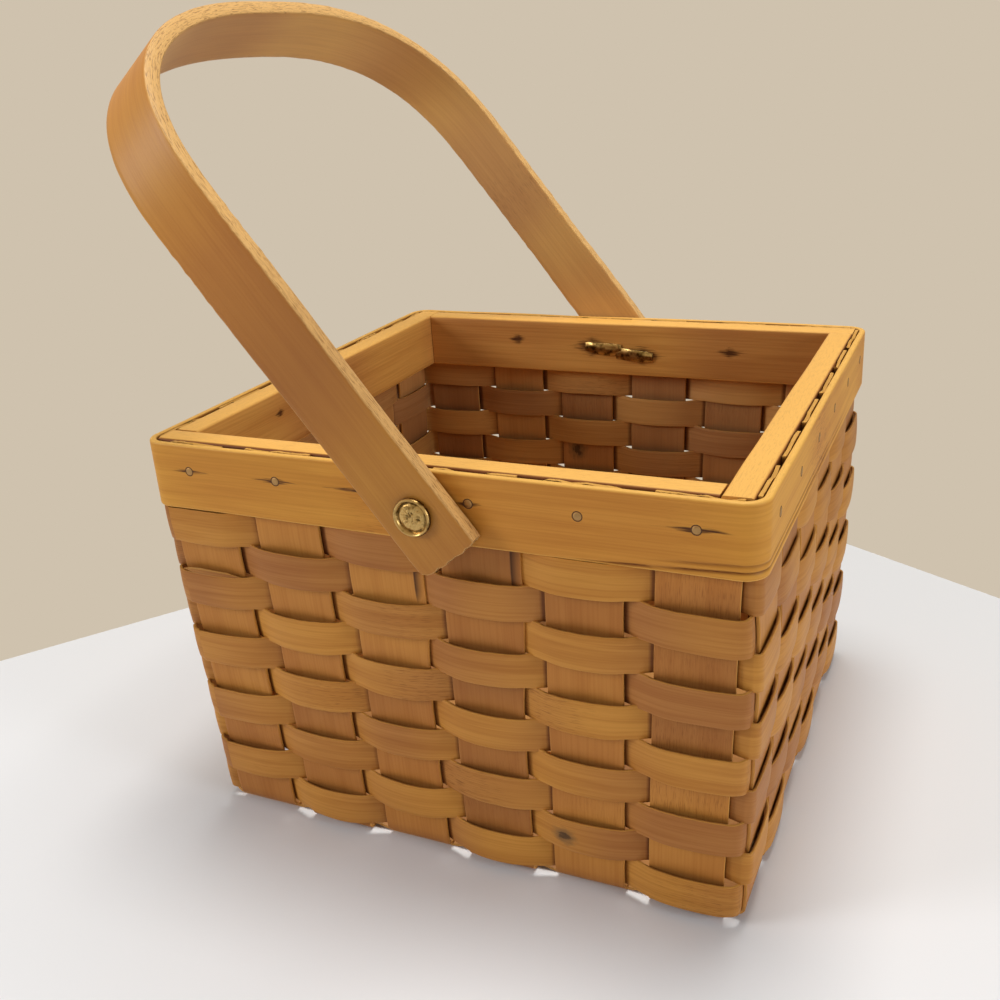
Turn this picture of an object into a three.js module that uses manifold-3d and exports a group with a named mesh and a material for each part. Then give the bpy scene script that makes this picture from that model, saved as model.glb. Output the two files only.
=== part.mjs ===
// Woven splint basket with a swing handle, in millimetres, +Z up.
//
// Two sets of flat wooden stakes cross in the base, fold up at the foot and stand as the uprights
// of the four walls. Hoops of thinner splint go over one upright and under the next, row by row.
// At the top the stake ends are pinched between a bent band outside and four boards inside, and
// nailed through. A bentwood handle swings on two brass split fasteners through that rim.
// The front wall faces -Y, and the handle leans towards -X.

import * as THREE from 'three';
import { mergeVertices } from 'three/addons/utils/BufferGeometryUtils.js';
import Module from 'manifold-3d';

const wasm = await Module();
wasm.setup();

// Body: outside sizes of the rim, and how far each wall leans in from the rim to its foot
const rimLength = 216;
const rimWidth = 205.2;
const basketHeight = 153.6;
const endWallLean = 4.2;
const longWallLean = 5.3;

// Rim
const bandHeight = 24;
const bandThickness = 2.5;
const bandCornerRadius = 7.8;
const boardHeight = 23.8;
const boardThickness = 9.5;
const boardEdgeEase = 0.8;

// Stakes and weavers
const longWallStakeCount = 6;
const endWallStakeCount = 6;
const stakeWidth = 25.4;
const stakeThickness = 1.2;
const leastCornerRoom = 3.6;
const foldRadius = 2.8;
const weaverWidth = 12.2;
const weaverThickness = 1;
const weaverBow = 2.1;

// Handle: reach and straight length are measured from the pivot
const handleReach = 184.4;
const handleStraight = 110.6;
const handleWidth = 23.9;
const handleThickness = 5.6;
const handleTail = 18.2;
const handleTailRounding = 3.2;
const archFullness = 2.59;
const handleLean = 38 * Math.PI / 180;
const pivotOffset = 2;
const pivotDrop = 12.8;

// Fastenings
const nailDrop = 9.5;
const nailShankRadius = 0.7;
const nailHeadRadius = 2.1;
const nailHeadThickness = 0.5;
const nailBite = 6;
const fastenerHeadRadius = 6.5;
const fastenerHeadThickness = 1.7;
const fastenerLegWidth = 4;
const fastenerLegThickness = 0.9;
const fastenerLegLength = 16;

// Clearances
const seatGap = 0.3;
const weaveClearance = 0.4;
const legGap = 0.2;
const handleGap = 1;

// Sizes worked out from the driving dimensions
const bandBottom = basketHeight - bandHeight;
const nailHeight = basketHeight - nailDrop;
const pivotHeight = basketHeight - pivotDrop;
const nailHoleRadius = nailShankRadius + seatGap;
const pivotHoleRadius = Math.hypot(fastenerLegWidth / 2, fastenerLegThickness + legGap / 2) + seatGap;
const handleInside = rimWidth / 2 + handleGap;
const handleOutside = handleInside + handleThickness;
const lowLevel = stakeThickness / 2;
const highLevel = lowLevel + stakeThickness + seatGap;
const weaverHug = stakeThickness / 2 + weaveClearance + weaverThickness / 2;

const colours = {
  stake: '#8f5a2c',
  weaver: '#b07a3e',
  band: '#b87a34',
  board: '#8a5428',
  handle: '#a2682f',
  brass: '#b59a5a',
  nail: '#8d7a52',
};
const wood = (colour) => new THREE.MeshStandardMaterial({ color: colour, roughness: 0.6, metalness: 0 });
const metal = (colour) => new THREE.MeshStandardMaterial({ color: colour, roughness: 0.35, metalness: 1 });

// A walk round the basket meets four walls: 0 front, 1 right, 2 back, 3 left. Each wall's pieces
// are modelled where the front wall stands and turned about Z into place.
const quarterTurn = Math.PI / 2;
const wallNames = ['front', 'right', 'back', 'left'];
const facesAlongY = (wall) => wall % 2 === 0;

// Distance from the basket's middle to the middle plane of a wall's stakes at height z
function stakePlane(wall, z) {
  const rimHalf = (facesAlongY(wall) ? rimWidth : rimLength) / 2 - bandThickness - seatGap;
  const leanIn = facesAlongY(wall) ? longWallLean : endWallLean;
  const drop = 1 - THREE.MathUtils.clamp(z / bandBottom, 0, 1);
  return rimHalf - leanIn * drop - stakeThickness / 2;
}

// Room from a wall's outer stake face to the last stake of the next wall: the last stake just
// clears the round corner inside the band
function cornerRoom() {
  const innerRadius = bandCornerRadius - bandThickness;
  const sideways = Math.sqrt(Math.max(0, (seatGap / 3) * (2 * innerRadius - seatGap)));
  return Math.max(leastCornerRoom, innerRadius - seatGap - sideways);
}

// Middles of a wall's stakes along the wall at height z, drawn together towards the foot
function stakePlaces(wall, z) {
  const side = wall + 1;
  const halfSpan = stakePlane(side, bandBottom) + stakeThickness / 2 - cornerRoom();
  const taper = stakePlane(side, z) / stakePlane(side, bandBottom);
  const count = facesAlongY(wall) ? longWallStakeCount : endWallStakeCount;
  const pitch = (2 * halfSpan - stakeWidth) / (count - 1);
  return Array.from({ length: count }, (_, i) => (i - (count - 1) / 2) * pitch * taper);
}

// Solid made of points and triangles, turned inside out if its faces point inwards
function solidFrom(points, triangles) {
  let volume = 0;
  for (let t = 0; t < triangles.length; t += 3) {
    const [a, b, c] = [points[triangles[t]], points[triangles[t + 1]], points[triangles[t + 2]]];
    volume += a.dot(b.clone().cross(c));
  }
  const geometry = new THREE.BufferGeometry().setFromPoints(points);
  geometry.setIndex(volume < 0 ? [...triangles].reverse() : triangles);
  return geometry;
}

// Body that runs through a row of sections with the same number of corners, or round a ring of them
function loft(sections, ring = false) {
  const corners = sections[0].length;
  const triangles = [];
  const spans = ring ? sections.length : sections.length - 1;
  for (let s = 0; s < spans; s++) {
    const here = s * corners;
    const next = ((s + 1) % sections.length) * corners;
    for (let c = 0; c < corners; c++) {
      const d = (c + 1) % corners;
      triangles.push(here + c, here + d, next + d, here + c, next + d, next + c);
    }
  }
  if (!ring) {
    const last = (sections.length - 1) * corners;
    for (let c = 1; c < corners - 1; c++) {
      triangles.push(0, c + 1, c, last, last + c, last + c + 1);
    }
  }
  return solidFrom(sections.flat(), triangles);
}

// Offsets that thicken a flat path evenly: at each point, the mitred normal for one unit of thickness
function mitres(path, ring = false) {
  const count = path.length;
  return path.map((point, i) => {
    const before = ring || i > 0 ? path[(i - 1 + count) % count] : null;
    const after = ring || i < count - 1 ? path[(i + 1) % count] : null;
    const normalOf = (from, to) => new THREE.Vector2(from.y - to.y, to.x - from.x).normalize();
    const first = before ? normalOf(before, point) : normalOf(point, after);
    const second = after ? normalOf(point, after) : first;
    const middle = first.clone().add(second).normalize();
    return middle.divideScalar(middle.dot(first));
  });
}

function weldedCopy(geometry) {
  const bare = geometry.clone();
  bare.deleteAttribute('normal');
  bare.deleteAttribute('uv');
  return mergeVertices(bare, 1e-4);
}

function toManifold(geometry) {
  const welded = weldedCopy(geometry);
  const index = welded.index.array;
  const kept = [];
  for (let t = 0; t < index.length; t += 3) {
    const [a, b, c] = [index[t], index[t + 1], index[t + 2]];
    if (a !== b && b !== c && c !== a) kept.push(a, b, c);
  }
  const vertProperties = Float32Array.from(welded.attributes.position.array);
  return new wasm.Manifold(new wasm.Mesh({ numProp: 3, vertProperties, triVerts: Uint32Array.from(kept) }));
}

function fromManifold(solid) {
  const { vertProperties, triVerts } = solid.getMesh();
  const geometry = new THREE.BufferGeometry();
  geometry.setAttribute('position', new THREE.BufferAttribute(vertProperties, 3));
  geometry.setIndex([...triVerts]);
  return geometry;
}

const joined = (pieces) => fromManifold(pieces.map(toManifold).reduce((whole, piece) => whole.add(piece)));
const drilled = (body, bits) => fromManifold(bits.map(toManifold).reduce((rest, bit) => rest.subtract(bit),
  toManifold(body)));

// Drill bit along Y at (x, z), between two depths, for a piece that stands at the front wall
function bit(radius, sides, x, z, fromY, toY) {
  const cylinder = new THREE.CylinderGeometry(radius, radius, toY - fromY, sides);
  return cylinder.translate(x, (fromY + toY) / 2, z);
}

// Stakes: set 0 runs front to back, set 1 from side to side
function crossingLevel(set, stake, crossing) {
  const crossed = set === 0 ? crossing : longWallStakeCount - 1 - crossing;
  return (stake + crossed + set) % 2 === 1 ? lowLevel : highLevel;
}

function foldPoints(plane, level) {
  const steps = 4;
  const centre = new THREE.Vector2(plane - foldRadius, level + foldRadius);
  return Array.from({ length: steps + 1 }, (_, i) => {
    const angle = quarterTurn * i / steps;
    return centre.clone().add(new THREE.Vector2(Math.cos(angle), -Math.sin(angle)).multiplyScalar(foldRadius));
  });
}

function stakePath(set, stake) {
  const crossings = stakePlaces(set + 1, 0);
  const last = crossings.length - 1;
  const flat = stakeWidth / 2 + weaveClearance;
  const top = stakePlane(set, bandBottom);
  const levels = crossings.map((_, crossing) => crossingLevel(set, stake, crossing));
  const wallAndFold = (level) => [
    new THREE.Vector2(top, basketHeight),
    new THREE.Vector2(top, bandBottom),
    ...foldPoints(stakePlane(set, level + foldRadius), level),
  ];
  const path = wallAndFold(levels[0]).map((p) => new THREE.Vector2(-p.x, p.y));
  crossings.forEach((place, k) => {
    if (k > 0) path.push(new THREE.Vector2(place - flat, levels[k]));
    if (k < last) path.push(new THREE.Vector2(place + flat, levels[k]));
  });
  return [...path, ...wallAndFold(levels[last]).reverse()];
}

function stakeGeometry(set, stake) {
  const path = stakePath(set, stake);
  const offsets = mitres(path);
  const sections = path.map((point, i) => {
    const middle = stakePlaces(set, point.y)[stake];
    const half = offsets[i].clone().multiplyScalar(stakeThickness / 2);
    const corner = (side, face) => new THREE.Vector3(middle + side * stakeWidth / 2,
      point.x + face * half.x, point.y + face * half.y);
    return [corner(-1, 1), corner(1, 1), corner(1, -1), corner(-1, -1)];
  });
  const place = stakePlaces(set, bandBottom)[stake];
  const bits = [bit(nailHoleRadius, 6, place, nailHeight, -rimLength, rimLength)];
  if (set === 0 && Math.abs(place - pivotOffset) < stakeWidth / 2 + pivotHoleRadius) {
    bits.push(bit(pivotHoleRadius, 12, pivotOffset, pivotHeight, -rimLength, rimLength));
  }
  return drilled(loft(sections), bits).rotateZ(set * quarterTurn);
}

// Weavers: a hoop passes outside an upright when the row and upright numbers add up to an odd number
function weaverPath(row, z) {
  const bowStations = [[-0.5, 0], [-0.2, 1], [0.2, 1], [0.5, 0]];
  const outwardBend = [[-0.8, 0.1], [0.6, 0.8]];
  const inwardBend = [[-0.8, -0.6], [-0.1, 0.8]];
  const sideOf = (upright) => ((row + upright) % 2 === 1 ? 1 : -1);
  const path = [];
  let upright = 0;
  for (let wall = 0; wall < 4; wall++) {
    const plane = stakePlane(wall, z);
    const end = stakePlane(wall + 1, z);
    const onWall = (along, out) => new THREE.Vector2(along, -out)
      .rotateAround(new THREE.Vector2(), wall * quarterTurn);
    for (const place of stakePlaces(wall, z)) {
      for (const [share, lift] of bowStations) {
        const out = plane + sideOf(upright) * (weaverHug + lift * weaverBow);
        path.push(onWall(place + share * stakeWidth, out));
      }
      upright++;
    }
    const bend = sideOf(upright) > 0 ? outwardBend : inwardBend;
    for (const [past, inside] of bend) {
      path.push(onWall(end + past * weaverThickness, plane - inside * weaverThickness));
    }
  }
  return path;
}

function weaverGeometry(row, top, bottom) {
  const edges = [top, bottom].map((z) => {
    const path = weaverPath(row, z);
    const offsets = mitres(path, true);
    return path.map((point, i) => [1, -1].map((face) => {
      const moved = point.clone().addScaledVector(offsets[i], face * weaverThickness / 2);
      return new THREE.Vector3(moved.x, moved.y, z);
    }));
  });
  const sections = edges[0].map((upper, i) => [upper[0], edges[1][i][0], edges[1][i][1], upper[1]]);
  return loft(sections, true);
}

// Rim
function roundedRectangle(shape, halfLength, halfWidth, radius) {
  shape.absarc(halfLength - radius, -halfWidth + radius, radius, -quarterTurn, 0);
  shape.absarc(halfLength - radius, halfWidth - radius, radius, 0, quarterTurn);
  shape.absarc(-halfLength + radius, halfWidth - radius, radius, quarterTurn, 2 * quarterTurn);
  shape.absarc(-halfLength + radius, -halfWidth + radius, radius, 2 * quarterTurn, 3 * quarterTurn);
  return shape;
}

function bandGeometry() {
  const shape = roundedRectangle(new THREE.Shape(), rimLength / 2, rimWidth / 2, bandCornerRadius);
  shape.holes.push(roundedRectangle(new THREE.Path(), rimLength / 2 - bandThickness,
    rimWidth / 2 - bandThickness, bandCornerRadius - bandThickness));
  const band = new THREE.ExtrudeGeometry(shape, { depth: bandHeight, bevelEnabled: false, curveSegments: 5 });
  band.translate(0, 0, bandBottom);
  const bits = [0, 1].flatMap((set) => stakePlaces(set, bandBottom).map((place) => (
    bit(nailHoleRadius, 6, place, nailHeight, -rimLength, rimLength).rotateZ(set * quarterTurn))));
  bits.push(bit(pivotHoleRadius, 12, pivotOffset, pivotHeight, -rimLength, rimLength));
  return drilled(band, bits);
}

const boardOutside = (wall) => stakePlane(wall, bandBottom) - stakeThickness / 2 - seatGap;
const boardInside = (wall) => boardOutside(wall) - boardThickness;

// Each board starts flush in its corner and ends against the inner face of the next board round
function boardGeometry(wall) {
  const start = -boardOutside(wall + 1);
  const end = boardInside(wall + 1) - seatGap;
  const outside = boardOutside(wall);
  const inside = boardInside(wall);
  const top = basketHeight;
  const bottom = top - boardHeight;
  const ease = boardEdgeEase;
  const profile = new THREE.Shape([
    new THREE.Vector2(-outside, bottom),
    new THREE.Vector2(-inside - ease, bottom),
    new THREE.Vector2(-inside, bottom + ease),
    new THREE.Vector2(-inside, top - ease),
    new THREE.Vector2(-inside - ease, top),
    new THREE.Vector2(-outside, top),
  ]);
  const board = new THREE.ExtrudeGeometry(profile, { depth: end - start, bevelEnabled: false });
  board.translate(0, 0, start).applyMatrix4(new THREE.Matrix4().makeBasis(
    new THREE.Vector3(0, 1, 0), new THREE.Vector3(0, 0, 1), new THREE.Vector3(1, 0, 0)));
  const holeEnd = nailBite + seatGap - outside;
  const bits = stakePlaces(wall, bandBottom).map((place) => (
    bit(nailHoleRadius, 6, place, nailHeight, -outside - seatGap, holeEnd)));
  if (facesAlongY(wall)) {
    const x = wall === 0 ? pivotOffset : -pivotOffset;
    bits.push(bit(pivotHoleRadius, 12, x, pivotHeight, -rimLength, 0));
  }
  return drilled(board, bits).rotateZ(wall * quarterTurn);
}

// Nails: a flat head just proud of the band, a round shank and a point inside the board
function nailGeometry(wall, place) {
  const bandFace = (facesAlongY(wall) ? rimWidth : rimLength) / 2;
  const underHead = bandFace + seatGap / 2;
  const point = boardOutside(wall) - nailBite;
  const profile = [
    new THREE.Vector2(0, point),
    new THREE.Vector2(nailShankRadius, point + 2 * nailShankRadius),
    new THREE.Vector2(nailShankRadius, underHead),
    new THREE.Vector2(nailHeadRadius, underHead),
    new THREE.Vector2(nailHeadRadius, underHead + nailHeadThickness),
    new THREE.Vector2(0, underHead + nailHeadThickness),
  ];
  return new THREE.LatheGeometry(profile, 6).rotateZ(Math.PI).translate(place, 0, nailHeight)
    .rotateZ(wall * quarterTurn);
}

// Split fasteners: a dished round head with a raised rim, and two legs bent flat behind the board
function fastenerLeg(side, underHead, flatLine) {
  const start = (fastenerLegThickness + legGap) / 2;
  const path = [
    new THREE.Vector2(side * start, -underHead - fastenerHeadThickness / 4),
    new THREE.Vector2(side * start, -flatLine - fastenerLegThickness),
    new THREE.Vector2(side * (start + fastenerLegThickness), -flatLine),
    new THREE.Vector2(side * fastenerLegLength, -flatLine),
  ];
  const offsets = mitres(path);
  const sections = path.map((point, i) => {
    const half = offsets[i].clone().multiplyScalar(fastenerLegThickness / 2);
    const corner = (face, up) => new THREE.Vector3(point.x + face * half.x,
      point.y + face * half.y, up * fastenerLegWidth / 2);
    return [corner(1, 1), corner(-1, 1), corner(-1, -1), corner(1, -1)];
  });
  return loft(sections);
}

function fastenerGeometry(wall) {
  const underHead = handleOutside + seatGap;
  const flatLine = boardInside(wall) - seatGap - fastenerLegThickness / 2;
  const radius = fastenerHeadRadius;
  const thickness = fastenerHeadThickness;
  const profile = [
    new THREE.Vector2(0, underHead),
    new THREE.Vector2(radius - 0.3, underHead),
    new THREE.Vector2(radius, underHead + thickness * 0.4),
    new THREE.Vector2(radius - 0.5, underHead + thickness * 0.9),
    new THREE.Vector2(radius - 1.1, underHead + thickness),
    new THREE.Vector2(radius - 1.7, underHead + thickness * 0.6),
    new THREE.Vector2(0, underHead + thickness * 0.7),
  ];
  const head = new THREE.LatheGeometry(profile, 18).rotateZ(Math.PI);
  const legs = [-1, 1].map((side) => fastenerLeg(side, underHead, flatLine));
  const x = wall === 0 ? pivotOffset : -pivotOffset;
  return joined([head, ...legs]).translate(x, 0, pivotHeight).rotateZ(wall * quarterTurn);
}

// Handle, upright with its pivots on the Y axis: straight legs with rounded ends and a full arch
function handleCentreLine() {
  const side = handleInside + handleThickness / 2;
  const rise = handleReach - handleThickness / 2 - handleStraight;
  const steps = 28;
  const arch = Array.from({ length: steps + 1 }, (_, i) => {
    const angle = Math.PI * i / steps;
    const power = 2 / archFullness;
    const across = Math.sign(Math.cos(angle)) * Math.abs(Math.cos(angle)) ** power;
    return new THREE.Vector2(-side * across, handleStraight + rise * Math.abs(Math.sin(angle)) ** power);
  });
  const tailRows = [0, 0.45, 0.8, 1];
  const tailHeights = tailRows.map((share) => (
    handleTailRounding * (1 - Math.sqrt(1 - share ** 2)) - handleTail));
  return {
    path: [
      ...tailHeights.map((z) => new THREE.Vector2(-side, z)),
      ...arch,
      ...tailHeights.toReversed().map((z) => new THREE.Vector2(side, z)),
    ],
    widths: [
      ...tailRows.map((share) => handleWidth * Math.max(share, 0.25)),
      ...arch.map(() => handleWidth),
      ...tailRows.toReversed().map((share) => handleWidth * Math.max(share, 0.25)),
    ],
  };
}

function handleGeometry() {
  const { path, widths } = handleCentreLine();
  const offsets = mitres(path);
  const sections = path.map((point, i) => {
    const half = offsets[i].clone().multiplyScalar(handleThickness / 2);
    const corner = (side, face) => new THREE.Vector3(side * widths[i] / 2,
      point.x + face * half.x, point.y + face * half.y);
    return [corner(-1, 1), corner(1, 1), corner(1, -1), corner(-1, -1)];
  });
  return drilled(loft(sections), [bit(pivotHoleRadius, 12, 0, 0, -rimLength, rimLength)]);
}

function piece(name, geometry, material) {
  const mesh = new THREE.Mesh(geometry, material);
  mesh.name = name;
  return mesh;
}

// The basket, standing with the middle of its base on the Z axis
function buildBasket() {
  const basket = new THREE.Group();
  const setNames = ['front_back_stake', 'side_to_side_stake'];
  for (const set of [0, 1]) {
    stakePlaces(set, bandBottom).forEach((_, stake) => {
      basket.add(piece(`${setNames[set]}_${stake + 1}`, stakeGeometry(set, stake), wood(colours.stake)));
    });
  }

  const weaveTop = bandBottom - seatGap;
  const weaveBottom = highLevel + stakeThickness / 2 + foldRadius / 2 + seatGap;
  const rows = Math.floor((weaveTop - weaveBottom + seatGap) / (weaverWidth + seatGap));
  const rowPitch = weaverWidth + seatGap;
  for (let row = 1; row <= rows; row++) {
    const top = weaveTop - (row - 1) * rowPitch;
    const name = `weaver_row_${String(row).padStart(2, '0')}`;
    basket.add(piece(name, weaverGeometry(row, top, top - weaverWidth), wood(colours.weaver)));
  }

  basket.add(piece('rim_band', bandGeometry(), wood(colours.band)));
  wallNames.forEach((name, wall) => {
    basket.add(piece(`rim_board_${name}`, boardGeometry(wall), wood(colours.board)));
    stakePlaces(wall, bandBottom).forEach((place, i) => {
      basket.add(piece(`nail_${name}_${i + 1}`, nailGeometry(wall, place), metal(colours.nail)));
    });
  });
  for (const wall of [0, 2]) {
    basket.add(piece(`split_fastener_${wallNames[wall]}`, fastenerGeometry(wall), metal(colours.brass)));
  }

  const swing = new THREE.Group();
  swing.position.set(pivotOffset, 0, pivotHeight);
  swing.rotation.y = -handleLean;
  swing.add(piece('handle', handleGeometry(), wood(colours.handle)));
  basket.add(swing);
  return basket;
}

// The origin is the middle of the part's own box on the table, with the handle as it leans
const model = new THREE.Group();
model.add(buildBasket());
const box = new THREE.Box3().setFromObject(model, true);
model.position.x = -(box.min.x + box.max.x) / 2;

export default model;
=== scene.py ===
import math

import bpy
import numpy as np
from mathutils import Matrix, Vector, noise


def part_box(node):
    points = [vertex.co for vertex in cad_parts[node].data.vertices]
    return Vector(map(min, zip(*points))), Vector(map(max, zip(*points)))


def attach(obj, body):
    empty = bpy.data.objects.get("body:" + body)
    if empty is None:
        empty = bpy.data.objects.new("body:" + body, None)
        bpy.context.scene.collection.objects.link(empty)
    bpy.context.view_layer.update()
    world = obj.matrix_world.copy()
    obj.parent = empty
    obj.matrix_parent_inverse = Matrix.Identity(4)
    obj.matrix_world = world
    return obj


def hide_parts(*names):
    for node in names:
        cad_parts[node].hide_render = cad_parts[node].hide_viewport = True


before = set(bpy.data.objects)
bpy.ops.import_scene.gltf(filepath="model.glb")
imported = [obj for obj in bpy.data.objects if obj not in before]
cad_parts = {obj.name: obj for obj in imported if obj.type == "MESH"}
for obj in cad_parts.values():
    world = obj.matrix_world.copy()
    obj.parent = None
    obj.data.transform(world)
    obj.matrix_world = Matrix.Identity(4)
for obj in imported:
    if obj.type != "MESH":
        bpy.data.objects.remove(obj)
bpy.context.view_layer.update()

# Lengths are written in millimetres, in the basket's own frame: its middle is at x = y = 0, its front
# wall faces -Y and z is up from the table. Walls are counted round it: 0 front, 1 right, 2 back, 3 left.
# Where a value has two numbers, one is for the front and back walls and one for the right and left walls.
MM = 0.001
RIM_LOW, RIM_HIGH = (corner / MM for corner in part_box("rim_band"))
BASKET_X = (RIM_LOW.x + RIM_HIGH.x) / 2
RIM_HALF = (RIM_HIGH.y, RIM_HIGH.x - BASKET_X)
BASKET_HEIGHT = RIM_HIGH.z
BAND_BOTTOM = RIM_LOW.z
BAND_THICKNESS = 2.5
WALL_LEAN = (5.3, 4.2)
WALL_BELLY = (0, 1.7)
BELLY_RISE = 40
SKEW = 0.4
WALL_NAMES = ("front", "right", "back", "left")
STAKE_COUNT = 6
LAST_STAKE = STAKE_COUNT - 1
STAKE_WIDTH = 25.4
STAKE_THICKNESS = 1.2
SEAT_GAP = 0.3
FASTENER_LOW, FASTENER_HIGH = (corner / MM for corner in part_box("split_fastener_front"))
PIVOT = Vector(((FASTENER_LOW.x + FASTENER_HIGH.x) / 2 - BASKET_X, 0, 140.8))


# Sizes of the walls

def smooth_step(x):
    x = np.clip(x, 0, 1)
    return x * x * (3 - 2 * x)


def wall_plane(wall, z):
    """Distance from the basket's middle to a wall's stakes at height z, were they quite straight."""
    rim = RIM_HALF[wall % 2] - BAND_THICKNESS - SEAT_GAP - STAKE_THICKNESS / 2
    return rim - WALL_LEAN[wall % 2] * (1 - np.clip(z / BAND_BOTTOM, 0, 1))


def stake_plane(wall, z):
    """The same with the end walls' belly: the weave has pushed their stakes out a little below the rim."""
    return wall_plane(wall, z) + WALL_BELLY[wall % 2] * smooth_step((BAND_BOTTOM - z) / BELLY_RISE)


def rim_places(node, axis, middle):
    """Middles of a set of stakes at the rim: the stakes fan out, so the outer edge of each box is there."""
    places = []
    for number in range(1, STAKE_COUNT + 1):
        low, high = (corner[axis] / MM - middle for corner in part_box(f"{node}_{number}"))
        outer = high if high + low > 0 else low
        places.append(outer - math.copysign(STAKE_WIDTH / 2, outer))
    return places


PLACES = (rim_places("front_back_stake", 0, BASKET_X), rim_places("side_to_side_stake", 1, 0))
PITCH = tuple(places[1] - places[0] for places in PLACES)


def stake_place(wall, position, z):
    """Where a stake stands along its wall at height z. A fraction is a place between two stakes. The stakes
    draw together towards the base, and those of the front and back lean a little left."""
    inner = np.interp(position, range(STAKE_COUNT), PLACES[wall % 2])
    past_end = position - np.clip(position, 0, LAST_STAKE)
    taper = wall_plane(wall + 1, z) / wall_plane(wall + 1, BAND_BOTTOM)
    skew = (-SKEW * position, 0, SKEW * (LAST_STAKE - position), 0)[wall % 4]
    return (inner + past_end * PITCH[wall % 2]) * taper + skew * (1 - np.clip(z / BAND_BOTTOM, 0, 1))


def turned(points, quarter_turns):
    """Points turned about Z by quarter turns."""
    angle = quarter_turns * math.pi / 2
    c, s = round(math.cos(angle)), round(math.sin(angle))
    x, y = points[..., 0], points[..., 1]
    return np.stack([c * x - s * y, s * x + c * y, points[..., 2]], -1)


def ripple(x, seed, size):
    """Uneven wave of the given size, about one bump for each 1 of x. The same seed gives the same wave."""
    return size * np.array([noise.noise(Vector((value, seed * 7.31, 0.5))) for value in np.atleast_1d(x)])


# Nodes of the materials

# Two marks paint shade: the darkening one, with some grime in the seams, and inside, a shade tint for inner
# faces
MARKS = ("tone", "edge", "dirt", "inside", "from_knot", "from_split", "along_stain", "over_stain")
SCALED = {"operation": "MULTIPLY_ADD"}
CLAMPED = {"operation": "MULTIPLY_ADD", "use_clamp": True}


def linear(colour):
    """sRGB hex colour as linear RGBA."""
    channels = [int(colour[i:i + 2], 16) / 255 for i in (1, 3, 5)]
    return (*[c / 12.92 if c <= 0.04045 else ((c + 0.055) / 1.055) ** 2.4 for c in channels], 1)


def add_node(tree, kind, inputs=None, output=0, stops=(), **settings):
    """Adds a node with its settings, its ramp's stops (place, colour) and its inputs: sockets to link, sRGB
    hex colours or values. Gives back the output that goes on."""
    node = tree.nodes.new(kind)
    for name, value in settings.items():
        setattr(node, name, value)
    for name, value in (inputs or {}).items():
        socket = node.inputs[name]
        if isinstance(value, bpy.types.NodeSocket):
            tree.links.new(value, socket)
        else:
            socket.default_value = linear(value) if isinstance(value, str) else value
    for number, (place, colour) in enumerate(stops):
        elements = node.color_ramp.elements
        element = elements[number] if number < len(elements) else elements.new(place)
        element.position = place
        element.color = linear(colour)
    return None if output is None else node.outputs[output]


def new_material(name):
    material = bpy.data.materials.new(name)
    material.use_nodes = True
    tree = material.node_tree
    return material, tree, tree.nodes["Principled BSDF"]


def streaks(tree, along, across, detail=2.0, distortion=0.0, start=0.0):
    """Noise drawn out along the grain: along and across are the length and width of a streak in millimetres.
    The strips' UV maps are in millimetres too, u along the strip and v round its section."""
    grain = add_node(tree, "ShaderNodeUVMap", uv_map="grain")
    scale = (1 / along, 1 / across, 1)
    place = add_node(tree, "ShaderNodeMapping", {0: grain, "Scale": scale, "Location": (start, start, 0)})
    return add_node(tree, "ShaderNodeTexNoise", {"Vector": place, "Scale": 1.0, "Detail": detail,
                                                 "Distortion": distortion}, noise_dimensions="2D")


def cut_face(tree, tone, light, mid, dark, figure, grain, fibres):
    """Colour of cut pine: a tone that wanders every few centimetres, soft growth rings, fibres, and places
    that the blade has left rough."""
    rough_cut = streaks(tree, 60, 250, 0.0, start=12.4)
    rough_cut = add_node(tree, "ShaderNodeMath", {0: rough_cut, 1: 2.2, 2: -1.4}, **CLAMPED)
    tone = add_node(tree, "ShaderNodeMath", {0: tone, 1: 0.13, 2: streaks(tree, 70, 300, 1.0)}, **SCALED)
    wood = add_node(tree, "ShaderNodeValToRGB", {0: tone}, stops=[(0.34, dark), (0.5, mid), (0.66, light)])
    layers = ((grain, streaks(tree, 110, figure, 2.0, 0.4), "#e7d8c6", 0.36, 0.56),
              (grain, fibres, "#e9dccc", 0.34, 0.6),
              (rough_cut, streaks(tree, 5, 0.3, 1.0, start=5.1), "#8f6236", 0.3, 0.42))
    for amount, pattern, shade, low, high in layers:
        tint = add_node(tree, "ShaderNodeValToRGB", {0: pattern}, stops=[(low, shade), (high, "#ffffff")])
        wood = add_node(tree, "ShaderNodeMix", {0: amount, 6: wood, 7: tint}, 2, data_type="RGBA",
                        blend_type="MULTIPLY")
    return wood


def add_knot(tree, wood, reach):
    """Dark knot in a ragged brown ring."""
    ragged = streaks(tree, 3.0, 1.2, 3.0, start=2.2)
    reach = add_node(tree, "ShaderNodeMath", {0: ragged, 1: 0.9, 2: reach}, **SCALED)
    ring = add_node(tree, "ShaderNodeValToRGB", {0: reach},
                    stops=[(0.45, "#46311c"), (0.8, "#5f4225"), (1.05, "#8f6536")])
    near = add_node(tree, "ShaderNodeMath", {0: reach, 1: -1.6, 2: 2.7}, **CLAMPED)
    return add_node(tree, "ShaderNodeMix", {0: near, 6: wood, 7: ring}, 2, data_type="RGBA")


def add_split_shade(tree, wood, apart):
    """Painted shade: a dark line where the wood has split with the grain and the split stands open."""
    line = add_node(tree, "ShaderNodeMath", {0: apart, 1: -3.0, 2: 1.7}, **CLAMPED)
    return add_node(tree, "ShaderNodeMix", {0: line, 6: wood, 7: "#4d2b12"}, 2, data_type="RGBA")


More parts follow.
